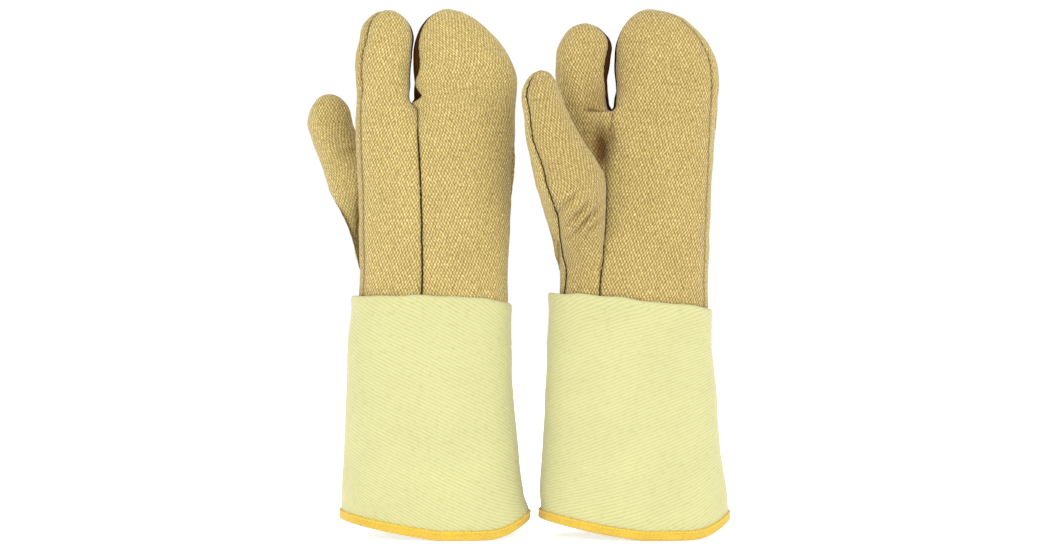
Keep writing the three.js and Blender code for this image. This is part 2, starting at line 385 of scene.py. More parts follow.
class DigitColumn(Column):
    """The index or the mitt side of a glove, with its share of the hand."""

    def __init__(self, glove, name):
        self.is_index = name == "index"
        if self.is_index:
            self.digit, self.outer = glove.index, glove.outer_left
            super().__init__(glove, glove.index_tip, DOME)
        else:
            self.digit, self.outer = glove.mitt, glove.outer_right
            tip = glove.mitt_tip - 1.2 * MM
            super().__init__(glove, tip, tip - (glove.digit_low + 10 * MM))

    def digit_edges(self, z):
        """The digit's outer and inner edges at a height, before its rounded end for the index."""
        g = self.glove
        right_hand = g.side == "right"
        outer = g.at(self.outer, z)
        inner = g.at(self.digit[1 if self.is_index else 0], z)
        if self.is_index:
            domed = ramp(z - 0.416, 16 * MM)
            outer -= (1.6 if right_hand else 0.7) * MM * ramp(z - 0.385, 20 * MM)
            outer += (3.0 if right_hand else 1.2) * MM * domed
            inner += 1.8 * MM * domed
            wider = 2.1 * MM * ramp(z - 0.374, 16 * MM) if right_hand else 0
            further = 1.4 if right_hand else 2.6
            inner += wider + further * MM * ramp(z - 0.402, 22 * MM)
            return outer, inner
        if right_hand:
            inner -= 1.3 * MM * ramp(z - 0.376, 12 * MM)
            outer += 3.2 * MM * bell(z - 0.318, 30 * MM)
        else:
            outer += 1.8 * MM * bell(z - 0.345, 55 * MM)
        peak, start, power = (11, 0.391, 1.68) if right_hand else (14, 0.403, 1.8)
        peak *= MM
        climb = np.clip((z - start) / (self.tip - start), 0, 1)
        outer = peak + (outer - peak) * (1 - climb ** power) ** (1 / power)
        climb = np.clip((z - 0.413) / (self.tip - 0.413), 0, 1)
        inner = peak + (inner - peak) * (1 - climb ** 2) ** 0.5
        return outer, inner

    def outline(self, z, end):
        g = self.glove
        q = across()
        split = ramp(z - g.crotch + 1 * MM, 5 * MM)
        opened_back = ramp(z - g.crotch + 40 * MM, 62 * MM)
        step, reach = (3, 10) if self.is_index else (8, 26)
        opened_palm = ramp(z - g.crotch + step * MM, reach * MM)
        shrink = math.sqrt(max(0, 1 - end ** 2))
        outer, inner_digit = self.digit_edges(z)
        halves = []
        sides = ((g.back_seam, 1, opened_back), (g.palm_seam, -1, opened_palm))
        for seam, sign, opened in sides:
            near = smoothstep((z - g.crotch) / ((8 if sign > 0 else 22) * MM) + 1)
            low = g.at(seam, z) * (1 - near) + g.middle * near
            inner = low * (1 - split) + inner_digit * split
            x = outer + (inner - outer) * q
            if self.is_index:
                x = (outer + inner) / 2 + (inner - outer) / 2 * shrink * (2 * q - 1)
            whole = g.hand_surface(x, z)
            own = g.at(self.digit[3], z) * shrink * round_profile(q)
            depth = whole * (1 - opened) + own * opened
            points = np.stack([x, sign * depth, np.full_like(x, z)], -1)
            tucked = ramp(g.cuff_top - 9 * MM - z, 8 * MM) * 2.6 * MM
            points[:, 0] -= np.sign(outer) * tucked * (1 - q)
            points[:, 1] -= sign * tucked * np.minimum(1, depth / (8 * MM))
            halves.append(points)
        return halves

    def inner_wall(self, z, shrink, wall):
        """How much of the inner side the gusset takes at a height, on the seen and hidden halves."""
        above = z - self.glove.crotch
        # The pocket widens the nearly black gusset near the crotch and again higher up; the widening
        # is painted shade between the digits.
        pocket = (4 if self.is_index else 10.5) * MM * bell(above - 2 * MM, 7.5 * MM)
        pocket += 3.6 * MM * bell(z - 0.408, 15 * MM)
        narrow = 0.85 if self.is_index else 1 - 0.6 * bell(above - 17 * MM, 6.5 * MM)
        opened = ramp(above + 3 * MM, 10 * MM)
        seen = (max(0, SIDE_STRIP * 1.3 * shrink - wall) * narrow + pocket) * opened
        return seen, max(0, 3 * MM * shrink - wall) * opened

    def panels(self):
        """Back and palm panels and the side strip, as lines of points for each row."""
        back_lines, palm_lines, strip_lines, strip_heights = [], [], [], []
        for (back, palm), z, end in zip(self.outlines, self.heights, self.ends):
            shrink = math.sqrt(max(0.02, 1 - end ** 2))
            round_line = np.concatenate([back[::-1], palm[1:]])
            lengths = arc_lengths(round_line)
            edge = arc_lengths(back[::-1])[-1]
            seen, hidden = self.inner_wall(z, shrink, back[-1, 1])
            at_back, at_palm = (hidden, seen) if self.is_index else (seen, hidden)
            seam = edge - EDGE_STRIP * shrink if self.is_index else edge + EDGE_STRIP * shrink
            last = lengths[-1]

            def stretch(start, stop, count=SAMPLES):
                return along_line(round_line, lengths, np.linspace(start, stop, count))

            back_lines.append(stretch(at_back, seam))
            palm_lines.append(stretch(seam, last - at_palm))
            if z >= self.glove.crotch - STRIP_START:
                low, high = stretch(last - at_palm, last, 14), stretch(0, at_back, 14)
                bridge = np.linspace(0, 1, 14)[1:-1, None]
                strip_lines.append(
                    np.concatenate([low, low[-1] * (1 - bridge) + high[0] * bridge, high]))
                strip_heights.append(z)
        width = 60 * MM if self.is_index else 95 * MM
        return {
            "back": Panel(back_lines, self.heights, width),
            "palm": Panel(palm_lines, self.heights, width + EDGE_STRIP),
            "strip": Panel(strip_lines, strip_heights, 26 * MM)}


class ThumbColumn(Column):
    """The thumb: a front panel, and an outer panel that closes it behind."""

    def __init__(self, glove):
        shorter = 0 if glove.side == "right" else 5 * MM
        super().__init__(glove, glove.thumb_tip - shorter, DOME)
        self.pieces = self.panels()

    def outline(self, z, end):
        """Front line from the left edge to the right one, and back line the same way."""
        g = self.glove
        q = across()
        left, right, front, behind = [g.at(v, z) for v in g.thumb]
        hand_left = g.at(g.outer_left, z)
        hole = g.thumb_hole
        rising = ramp(z - 0.245, 60 * MM)
        slimmer = ramp(z - 0.312, 30 * MM)
        if g.side == "right":
            out_by = rising * (12 - 4 * ramp(z - 0.335, 40 * MM)) * MM
            left, right = left - out_by, right - out_by * slimmer
        else:
            left -= 3.2 * MM * rising * (1 - ramp(z - 0.335, 30 * MM))
            right -= 5.5 * MM * slimmer
        shrink = math.sqrt(max(0, 1 - end ** 2))
        middle_y = (front + behind) / 2
        grow = np.clip((z - 0.226) / (hole - 0.226), 0, 1) ** 1.15
        risen = ramp(z - 0.222, hole - 0.222)
        x_left = left if z > hole else hand_left * (1 - grow) + left * grow
        out = ramp(z - hole + 4 * MM, 26 * MM)
        x_right = g.at(g.palm_seam, z) + 0.8 * MM
        if z > hole:
            x_right = (g.at(g.palm_seam, hole) + 0.8 * MM) * (1 - out) + right * out
        y_left = middle_y * grow
        seat = -g.hand_surface(np.array([x_right]), z)[0] - 0.6 * MM
        y_right = seat * (1 - out) + middle_y * out
        middle_x = (x_left + x_right) / 2
        x = middle_x + (x_right - x_left) / 2 * shrink * (2 * q - 1)
        base = y_left + (y_right - y_left) * q
        base = middle_y + (base - middle_y) * shrink if end > 0 else base
        hump = round_profile(q, 2.15)
        reach = front - (y_left + y_right) / 2
        y_front = base + reach * shrink * hump
        if z < hole:
            lying = -g.hand_surface(x, z) - 0.9 * MM
            y_front = lying * (1 - risen) + y_front * risen
        back_reach = max(behind - (y_left + y_right) / 2, 6 * MM)
        y_back = base + back_reach * shrink * hump
        level = np.full_like(x, z)
        return np.stack([x, y_front, level], -1), np.stack([x, y_back, level], -1)

    def seam_at(self, z):
        """Where the front panel's outer seam lies across the palm."""
        return np.interp(z, self.heights, self.seams)

    def panels(self):
        front_lines, outer_lines, outer_heights = [], [], []
        self.seams = []
        hole = self.glove.thumb_hole
        for (front, back), z, end in zip(self.outlines, self.heights, self.ends):
            shrink = math.sqrt(max(0.02, 1 - end ** 2))
            lengths = arc_lengths(front)
            inset = (13 - 3.5 * ramp(z - hole, 50 * MM)) * MM
            inset += 8 * MM * bell(z - 0.282, 26 * MM)
            seam = min(inset * shrink * 1.25, 0.45 * lengths[-1])
            self.seams.append(along_line(front, lengths, np.array([seam]))[0, 0])
            front_lines.append(along_line(front, lengths, np.linspace(seam, lengths[-1], SAMPLES)))
            if z > 0.229:
                strip = along_line(front, lengths, np.linspace(0, seam, 16))[::-1]
                outer_lines.append(np.concatenate([strip, back[1:]]))
                outer_heights.append(z)
        return {
            "front": Panel(front_lines, self.heights, 66 * MM),
            "outer": Panel(outer_lines, outer_heights, 78 * MM)}


# ---- Materials ----

class Material:
    """A principled material and short ways to add its nodes."""

    def __init__(self, name, roughness, sheen=0.0, specular=0.3):
        self.material = bpy.data.materials.new(name)
        self.material.use_nodes = True
        self.tree = self.material.node_tree
        self.shader = self.tree.nodes["Principled BSDF"]
        self.shader.inputs["Roughness"].default_value = roughness
        self.shader.inputs["Sheen Weight"].default_value = sheen
        self.shader.inputs["Sheen Roughness"].default_value = 0.5
        self.shader.inputs["Specular IOR Level"].default_value = specular
        self.weave = self.node("ShaderNodeUVMap", uv_map="Weave").outputs[0]
        self.u, self.v = self.node("ShaderNodeSeparateXYZ", {0: self.weave}).outputs[:2]

    def node(self, kind, inputs=None, **settings):
        made = self.tree.nodes.new(kind)
        for key, value in settings.items():
            setattr(made, key, value)
        for key, value in (inputs or {}).items():
            self.put(made.inputs[key], value)
        return made

    def put(self, socket, value):
        if isinstance(value, bpy.types.NodeSocket):
            self.tree.links.new(value, socket)
        else:
            socket.default_value = value

    def math(self, operation, a, b=0.0, c=0.0):
        return self.node("ShaderNodeMath", {0: a, 1: b, 2: c}, operation=operation).outputs[0]

    def scale_add(self, value, factor, added):
        return self.math("MULTIPLY_ADD", value, factor, added)

    def noise(self, scale, detail=2.0, roughness=0.5):
        """Smooth noise over the weave's coordinates, from 0 to 1, scale in features a metre."""
        settings = {"Vector": self.weave, "Scale": scale, "Detail": detail, "Roughness": roughness}
        return self.node("ShaderNodeTexNoise", settings, noise_dimensions="2D").outputs[:2]

    def wander(self, scale, reach):
        """The weave's coordinates, pushed about by up to reach, as unevenly spun yarns are."""
        push = self.node("ShaderNodeSeparateColor", {0: self.noise(scale)[1]}).outputs
        shifts = [self.scale_add(p, 2 * reach, -reach) for p in push[:2]]
        return self.math("ADD", self.u, shifts[0]), self.math("ADD", self.v, shifts[1])

    def wave(self, value, pitch):
        """A sine with half a period for each pitch."""
        return self.math("SINE", self.math("MULTIPLY", value, math.pi / pitch))

    def colours(self, factor, stops):
        ramp = self.node("ShaderNodeValToRGB", {0: factor})
        elements = ramp.color_ramp.elements
        while len(elements) < len(stops):
            elements.new(0.5)
        for element, (position, colour) in zip(elements, stops):
            element.position = position
            element.color = (*colour, 1)
        return ramp.outputs[0]

    def shade(self, colour, amount):
        """A colour made lighter or darker by a factor about 1."""
        scaled = self.node("ShaderNodeVectorMath", {0: colour, "Scale": amount}, operation="SCALE")
        return scaled.outputs[0]

    def mottle(self, colour, depth, *noise):
        """A colour that noise makes lighter and darker by up to depth either way."""
        return self.shade(colour, self.spread(depth, *noise))

    def spread(self, depth, *noise):
        """A factor about 1 that noise moves by up to depth either way."""
        return self.scale_add(self.noise(*noise)[0], 2 * depth, 1 - depth)

    def finish(self, colour, height, strength, distance):
        self.put(self.shader.inputs["Base Color"], colour)
        bump = {"Strength": strength, "Distance": distance, "Height": height}
        self.put(self.shader.inputs["Normal"], self.node("ShaderNodeBump", bump).outputs[0])
        return self.material


def glove_cloth(name, tint, pits=0.40, sheen=0.15, specular=0.12):
    """Coarse plain weave of thick soft yarns: staggered oval crowns with pits between, coloured with
    painted shade in the pits and a painted highlight on the crowns.
    """
    m = Material(name, 0.92, sheen, specular)
    u, v = m.wander(120, 0.95 * MM)
    fine = m.node("ShaderNodeSeparateColor", {0: m.noise(400, 1)[1]}).outputs
    u = m.scale_add(fine[0], 1.3 * MM, u)
    v = m.scale_add(fine[1], 1.5 * MM, v)
    lean = m.scale_add(v, 0.16, u)
    crossing = m.math("MULTIPLY", m.wave(lean, YARN_ACROSS), m.wave(v, YARN_UP))
    crowns = m.math("POWER", m.math("ABSOLUTE", crossing), 0.7)
    height = m.scale_add(crossing, 0.42, 0.40)
    height = m.scale_add(crowns, 0.20, height)
    height = m.scale_add(m.noise(2600, 2, 0.7)[0], 0.30, height)
    # The yarns' tan, painted darker in the pits as shade and paler and less saturated on the crowns
    # as highlight; pits sets how dark the painted pit shade is.
    colour = m.colours(height, [
        (0.12, [t * k * pits for t, k in zip(tint, (1.00, 0.85, 0.35))]),
        (0.50, [t * k for t, k in zip(tint, (1.03, 1.00, 0.80))]),
        (0.92, [t * k for t, k in zip(tint, (1.85, 1.98, 2.70))])])
    # Painted shade, read from a mesh attribute: seams, hollows and the gusset near the crotch darken
    # towards a deep brown.
    painted_shade = m.node("ShaderNodeAttribute", attribute_name="PaintedShade").outputs["Fac"]
    painted_shade_colour = m.colours(painted_shade, [(0.0, (1, 1, 1)), (1.0, (0.42, 0.30, 0.17))])
    tinted = m.node("ShaderNodeVectorMath", {0: colour, 1: painted_shade_colour}, operation="MULTIPLY")
    colour = m.mottle(tinted.outputs[0], 0.34, 380, 1)
    colour = m.mottle(colour, 0.10, 30, 3)
    return m.finish(colour, height, 0.85, 0.85 * MM)


def gauntlet_twill(side, slope):
    """Pale twill: slanting ridges, each broken into short floats."""
    m = Material(f"gauntlet_twill_{side}", 0.8, sheen=0.22, specular=0.25)
    u, v = m.wander(60, 0.35 * MM)
    along = m.scale_add(u, -slope, v)
    ridge = m.math("ABSOLUTE", m.wave(along, TWILL_PITCH))
    ridge = m.math("POWER", ridge, 0.6)
    floats = m.math("ABSOLUTE", m.wave(m.scale_add(v, 0.5, u), 1.5 * MM))
    ridge = m.math("MULTIPLY", ridge, m.spread(0.9, 210, 2))
    height = m.scale_add(floats, 0.25, ridge)
    height = m.scale_add(m.noise(2200, 2, 0.7)[0], 0.2, height)
    colour = m.colours(height, [
        (0.15, (0.292, 0.277, 0.101)),
        (0.70, (0.372, 0.360, 0.161)),
        (1.00, (0.402, 0.392, 0.186))])
    colour = m.mottle(colour, 0.05, 28, 3)
    return m.finish(colour, height, 0.55, 0.5 * MM)


def hem_binding():
    """Golden-yellow bias tape with a fine slanting weave."""
    m = Material("hem_binding", 0.62, sheen=0.2, specular=0.35)
    u, v = m.wander(90, 0.2 * MM)
    one = m.wave(m.math("ADD", u, v), 0.85 * MM)
    two = m.wave(m.math("SUBTRACT", u, v), 0.85 * MM)
    crossing = m.math("ABSOLUTE", m.math("MULTIPLY", one, two))
    height = m.scale_add(m.noise(1800, 2)[0], 0.4, m.math("POWER", crossing, 0.5))
    colour = m.colours(height, [
        (0.10, (0.280, 0.150, 0.005)),
        (0.60, (0.475, 0.298, 0.015)),
        (1.00, (0.545, 0.375, 0.030))])
    colour = m.mottle(colour, 0.12, 55, 2)
    colour = m.mottle(colour, 0.20, 700, 1)
    return m.finish(colour, height, 0.6, 0.45 * MM)


def felt(name, light, dark):
    """Needled felt: matted fibres without a weave."""
    m = Material(name, 0.97, sheen=0.3, specular=0.1)
    tufts = m.noise(420, 5, 0.75)[0]
    fibres = m.noise(2400, 3, 0.8)[0]
    height = m.scale_add(fibres, 0.5, tufts)
    colour = m.colours(height, [(0.45, dark), (0.95, light)])
    return m.finish(colour, height, 0.7, 1.0 * MM)


def thread(name, light, dark):
    """Twisted sewing thread."""
    m = Material(name, 0.8, specular=0.12)
    twist = m.math("ABSOLUTE", m.wave(m.scale_add(m.u, 1.4, m.v), 1.1 * MM))
    height = m.scale_add(m.noise(1500, 2)[0], 0.3, twist)
    colour = m.colours(height, [(0.15, dark), (0.95, light)])
    return m.finish(colour, height, 0.6, 0.25 * MM)


CLOTH = glove_cloth("glove_cloth", (0.273, 0.205, 0.068))
# The palm's and the thumb front's cloths are darker copies of the back's cloth, with darker pits:
# painted shade on the palm side.
PALM_CLOTH = glove_cloth("palm_cloth", (0.256, 0.187, 0.061), 0.28)
THUMB_CLOTH = glove_cloth("thumb_cloth", (0.242, 0.177, 0.058), 0.28)
# The gusset: dark brown cloth, painted nearly black as shade between the digits.
GUSSET_CLOTH_AND_SHADE = glove_cloth("gusset_cloth_and_painted_shade", (0.030, 0.012, 0.002), 0.40, 0.0, 0.03)
TWILL = {side: gauntlet_twill(side, slope) for side, slope in TWILL_SLOPES.items()}
BINDING = hem_binding()
LINING = felt("felt_lining", (0.86, 0.82, 0.68), (0.62, 0.57, 0.43))
SLEEVE_LINING = felt("gauntlet_lining", (0.90, 0.88, 0.72), (0.72, 0.69, 0.50))
THREAD = thread("seam_thread", (0.030, 0.015, 0.003), (0.010, 0.004, 0.001))
# The outer edges' seam thread, darker than the cloth: a thread the seam has, and also painted shade
# in the seam.
EDGE_THREAD_AND_SHADE = thread("edge_thread_and_painted_shade", (0.225, 0.145, 0.040), (0.120, 0.072, 0.017))
YELLOW_THREAD = thread("binding_thread", (0.800, 0.560, 0.080), (0.480, 0.300, 0.030))

# ---- Meshes ----

class Shape:
    """Points, faces and the weave's coordinates of one mesh, gathered part by part."""

    def __init__(self):
        self.points, self.faces, self.weave, self.count = [], [], [], 0
        self.painted_shade = None

    def add(self, points, faces, weave):
        self.points.append(points.reshape(-1, 3))
        self.weave.append(weave.reshape(-1, 2))
        self.faces.append(faces + self.count)
        self.count += len(self.points[-1])

    def add_grid(self, grid, weave, flipped=False):
        rows, columns = grid.shape[:2]
        index = np.arange(rows * columns).reshape(rows, columns)
        corners = [index[:-1, :-1], index[:-1, 1:], index[1:, 1:], index[1:, :-1]]
        faces = np.stack(corners, -1).reshape(-1, 4)
        self.add(grid, faces[:, ::-1] if flipped else faces, weave)

    def add_tube(self, path, radii, around=6):
        """A round cord along a path of points, with a radius at each."""
        along = np.gradient(path, axis=0)
        along /= np.maximum(np.linalg.norm(along, axis=1, keepdims=True), 1e-9)
        side = np.cross(along, [0.31, 0.82, 0.47])
        side /= np.maximum(np.linalg.norm(side, axis=1, keepdims=True), 1e-9)
        other = np.cross(along, side)
        angle = np.linspace(0, 2 * math.pi, around + 1)
        ring = np.cos(angle)[:, None] * side[:, None] + np.sin(angle)[:, None] * other[:, None]
        grid = path[:, None] + ring * np.asarray(radii)[:, None, None]
        down = np.broadcast_to(arc_lengths(path)[:, None], grid.shape[:2])
        turn = np.broadcast_to(angle / (2 * math.pi) * 2 * MM, grid.shape[:2])
        self.add_grid(grid, np.stack([turn, down], -1))

    def make(self, name, glove, material):
        """The mesh as an object in its place. The mirrored glove's faces are turned over."""
        points = glove.place(np.concatenate(self.points))
        faces = np.concatenate(self.faces)
        if glove.flip < 0:
            faces = faces[:, ::-1]
        mesh = bpy.data.meshes.new(f"{glove.side}_{name}")
        mesh.from_pydata(points, [], faces.tolist())
        corner = np.empty(len(mesh.loops), int)
        mesh.loops.foreach_get("vertex_index", corner)
        layer = mesh.uv_layers.new(name="Weave")
        layer.data.foreach_set("uv", np.concatenate(self.weave)[corner].ravel())
        # The painted shade goes with the mesh as a point attribute.
        if self.painted_shade is not None:
            painted_shade = mesh.attributes.new("PaintedShade", "FLOAT", "POINT")
            painted_shade.data.foreach_set("value", self.painted_shade.ravel())
        mesh.shade_smooth()
        mesh.materials.append(material)
        obj = bpy.data.objects.new(mesh.name, mesh)
        bpy.context.scene.collection.objects.link(obj)
        return obj


def stand_for(glove, nodes):
    """Has a piece take the place of a glove's CAD nodes."""
    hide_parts(*[f"{glove.side}_{node}" for node in nodes])


def join(obj, glove, low, high, start, end):
    """Bakes a finished piece's place into its mesh. Its bodies and heights are not used."""
    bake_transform(obj)


def make_panel(glove, name, panel, material, nodes, joint, slot="glove_cloth", fill=0.45):
    """A padded piece that stands for some nodes."""
    shape = Shape()
    shape.add_grid(panel.grid, panel.weave, panel.sign < 0)
    shape.painted_shade = panel.painted_shade
    obj = shape.make(name, glove, material)
    stand_for(glove, nodes)
    join(obj, glove, *joint)


def make_halves(glove, name, panel, column, split, material, nodes, joint, **settings):
    """A panel that crosses the wrist and a second joint, cut where neither of them bends it.

    `nodes` are the low and the high piece's nodes. A piece without nodes isn't made.
    """
    row = column.row_of(split) - (len(column.heights) - len(panel.heights))
    parts = (("low", panel.cut(0, row), glove.wrist),
             ("high", panel.cut(row, len(panel.heights)), joint))
    for (part, cloth, bend), stands_for in zip(parts, nodes):
        if stands_for:
            make_panel(glove, f"{name}_{part}", cloth, material, stands_for, bend, **settings)


def make_seam(glove, name, borders, split, top, radii, joint, material):
    """The sewing thread along some borders, in a low and a high piece."""
    parts = (("low", THREAD_START, split, glove.wrist), ("high", split, top, joint))
    for (part, low, high, bend), radius in zip(parts, radii):
        shape = Shape()
        for seed, (line, normals) in enumerate(borders):
            kept = (line[:, 2] >= low - 0.1 * MM) & (line[:, 2] <= high + 0.1 * MM)
            path, out = line[kept], normals[kept]
            lengths = arc_lengths(path)
            at = np.arange(0, lengths[-1], 0.7 * MM)
            path, out = along_line(path, lengths, at), along_line(out, lengths, at)
            sideways = np.cross(np.gradient(path, axis=0) / (0.7 * MM), out)
            wander = ripple(path, 11 * MM, 50 + seed)
            path = path + out * 0.55 * MM + sideways * (0.35 * MM * wander)[:, None]
            stitch = np.abs(np.sin(math.pi * at / STITCH + wander))
            shape.add_tube(path, radius * (0.62 + 0.38 * stitch))
        obj = shape.make(f"{name}_{part}", glove, material)
        join(obj, glove, *bend)


# ---- The hand, the digits and the thumb ----

# Soft hollows and ridges, in millimetres: how far one rises, its place in x and z, its width in
# x and z, and how far each of its two axes leans towards the other.
PALM_HOLLOWS = (
    (-10, -31, 333, 6.5, 15, 0, 0),
    (-2.6, -37, 343, 12, 20, 0, 0),
    (-3, -22, 345, 3.4, 13, 0, 0.6),
    (1.3, -8, 338, 7, 20, 0, 0),
    (-0.8, 12, 366, 22, 3.5, 0.5, 0),
)
BACK_HOLLOWS = (
    (-0.7, 22, 242.4, 26, 3.4, 0, -0.2),
    (-0.6, -40, 276, 16, 3.0, 0, 0.35),
)
THUMB_BACK_HOLLOWS = (
    (-4.8, -67.2, 274, 2.2, 28, 0, 0),
    (-2.4, -70, 335.25, 12, 3.5, 0, -0.25),
)
WRINKLES = ((-8, 1.0, 13), (0, 1.5, 17), (9, 1.2, 14), (22, 0.9, 15))


def hollows(grid, table):
    """How far a table of hollows and ridges moves each point of a grid outwards."""
    total = np.zeros(grid.shape[:2])
    for rise, at_x, at_z, width_x, width_z, lean_x, lean_z in table:
        x, z = grid[..., 0] / MM - at_x, grid[..., 2] / MM - at_z
        total += rise * MM * bell(x + lean_x * z, width_x) * bell(z + lean_z * x, width_z)
    return total


def palm_relief(glove, grid):
    """How far the palm's cloth lies out or in, beside the thumb and under the digits."""
    x, z = grid[..., 0], grid[..., 2]
    crease = glove.crotch - 2 * MM + 0.10 * (x + 30 * MM)
    window = ramp(x + 50 * MM, 10 * MM) * (1 - ramp(x + 24 * MM, 12 * MM))
    above = ramp(z - crease, 3 * MM) * (1 - ramp(z - crease - 8 * MM, 34 * MM))
    total = -3.0 * MM * window * above
    total -= 3.4 * MM * window * bell(z - crease - 1.5 * MM, 2.3 * MM)
    pad = bell(z - crease + 8 * MM, 8 * MM)
    total += 1.6 * MM * window * pad * (z < crease + 4 * MM)
    return total + hollows(grid, PALM_HOLLOWS)


def thumb_relief(grid):
    """Slanting wrinkles on the thumb's base, where the thumb folds in over the palm."""
    x, z = grid[..., 0] + 43 * MM, grid[..., 2] - 0.272
    lean = math.radians(47)
    along = x * math.cos(lean) + z * math.sin(lean)
    across = -x * math.sin(lean) + z * math.cos(lean)
    total = np.zeros_like(x)
    for place, depth, length in WRINKLES:
        wrinkle = 2.5 * bell(across - place * MM, 2.3 * MM)
        ridge = 1.5 * bell(across - (place + 4.3) * MM, 2.6 * MM)
        total += (ridge - wrinkle) * depth * MM * bell(along, length * MM)
    return total


def relieve(panel, amount):
    """Moves the cloth in or out, and paints shade into its hollows, darker the deeper they are."""
    panel.grid = panel.grid + panel.normals * amount[..., None]
    # Painted shade, darker the deeper the hollow.
    panel.painted_shade = np.maximum(panel.painted_shade, np.clip(-amount / (9 * MM), 0, 1))


def sink_under_thumb(glove, panel, thumb):
    """Lowers the index side of the palm where the thumb's front panel covers it."""
    fades = 1 - ramp(panel.heights - 0.296, 18 * MM)
    for row, (z, fade) in enumerate(zip(panel.heights, fades)):
        if fade <= 0:
            continue
        seam = thumb.seam_at(z)
        x = panel.grid[row, :, 0]
        palm = panel.normals[row, :, 1] < -0.2
        depth = 3.4 * MM * fade * ramp(x - seam + 1.5 * MM, 3.5 * MM) * palm
        panel.grid[row] -= panel.normals[row] * depth[:, None]


def shape_digit_panels(glove, name, column, panels):
    """Sinks one digit side's panels into their seams, and gives them their hollows."""
    below = 1 - ramp(column.heights - glove.crotch + 2 * MM, 6 * MM)
    beside_thumb = 1 - ramp(column.heights - 0.304, 20 * MM)
    edge = 2.8 * MM if name == "index" else 2.3 * MM
    back_seam = SEAM_DIP * below + SHALLOW_DIP * (1 - below)
    palm_seam = 2.1 * MM * beside_thumb + SHALLOW_DIP * (1 - below)
    first_seed = (103 if name == "mitt" else 3) + (40 if glove.flip < 0 else 0)
    for number, (kind, panel) in enumerate(panels.items()):
        rows = slice(len(column.heights) - len(panel.heights), None)
        dips = {
            "back": (back_seam[rows], edge),
            "palm": (edge, palm_seam[rows]),
            "strip": (0.9 * MM, 0.9 * MM)}[kind]
        panel.puff(column.centre[rows], dips, number * 7 + first_seed, glove.crotch)
        if kind == "palm":
            relieve(panel, palm_relief(glove, panel.grid) * (panel.normals[..., 1] < 0))
        if kind == "back":
            relieve(panel, hollows(panel.grid, BACK_HOLLOWS) * (panel.normals[..., 1] > 0))


def close_strip(glove, strip):
    """Closes the gusset's lower end under the crotch, and paints shade on it there."""
    hidden = 3 * MM * ramp(glove.crotch + 1 * MM - strip.heights, 3 * MM)
    depth = strip.grid[..., 1]
    depth -= np.sign(depth) * np.minimum(np.abs(depth), hidden[:, None])
    # Painted shade on the gusset from 15 mm above the crotch downwards.
    deep = ramp(glove.crotch + 15 * MM - strip.heights, 10 * MM)
    strip.painted_shade = np.maximum(strip.painted_shade, deep[:, None])


def make_digit(glove, name, column, panels):
    """The pieces of one digit with its share of the hand."""
    joint = ("hand", name, glove.hand_top, glove.digit_low)
    knuckle = f"{name}_knuckle_fold"
    low_nodes = {"back": f"back_{name}_panel", "palm": "palm_panel"}
    back_seam = panels["back"].border(0)
    for kind, panel in panels.items():
        panel.flanged()
        piece = f"{name}_{kind}_cloth"
        if kind == "strip":
            # The gusset's nearly black colour is partly painted shade between the digits.
            make_panel(glove, piece, panel, GUSSET_CLOTH_AND_SHADE, [f"{name}_side_strip", knuckle], joint)
            continue
        # The palm's darker cloth is painted shade.
        cloth = CLOTH if kind == "back" else PALM_CLOTH
        nodes = ([low_nodes[kind], "wrist_fold"], [f"{name}_{kind}_panel", knuckle])
        make_halves(glove, piece, panel, column, HAND_SPLIT, cloth, nodes, joint)
    # The outer edge's thread lies deep in its seam, at the foot of the turned-in edge. Darker than
    # the cloth, it is partly painted shade in the seam.
    edge_seam = panels["back"].border(-1)
    radii = (0.34 * MM, 0.34 * MM)
    top = column.tip - 6 * MM
    make_seam(glove, f"{name}_edge_seam", [edge_seam], HAND_SPLIT, top, radii, joint, EDGE_THREAD_AND_SHADE)
    if name == "mitt":
        radii = (0.72 * MM, 0.72 * MM)
        make_seam(glove, "back_seam", [back_seam], HAND_SPLIT, glove.crotch, radii, joint, THREAD)
    make_lining(glove, column, name, joint, HAND_SPLIT, (["hand_lining"], [f"{name}_lining"]))


def make_hand(glove):
    """The panels of the hand with both digits and the thumb."""
    columns = {name: DigitColumn(glove, name) for name in ("index", "mitt")}
    thumb = ThumbColumn(glove)
    panels = {name: column.panels() for name, column in columns.items()}
    for name, column in columns.items():
        shape_digit_panels(glove, name, column, panels[name])
    index, mitt = panels["index"], panels["mitt"]
    lower = slice(0, columns["index"].row_of(glove.crotch))
    weld(index["back"], 0, mitt["back"], 0, lower, lower)
    weld(index["palm"], -1, mitt["palm"], -1, lower, lower)
    for digit in (index, mitt):
        back, palm, strip = digit["back"], digit["palm"], digit["strip"]
        weld(back, -1, palm, 0, slice(None), slice(None))
        weld(palm, -1, strip, 0, *top_rows(palm, strip))
        weld(back, 0, strip, -1, *top_rows(back, strip))
    sink_under_thumb(glove, index["palm"], thumb)
    for name, column in columns.items():
        close_strip(glove, panels[name]["strip"])
        make_digit(glove, name, column, panels[name])
    make_thumb(glove, thumb)


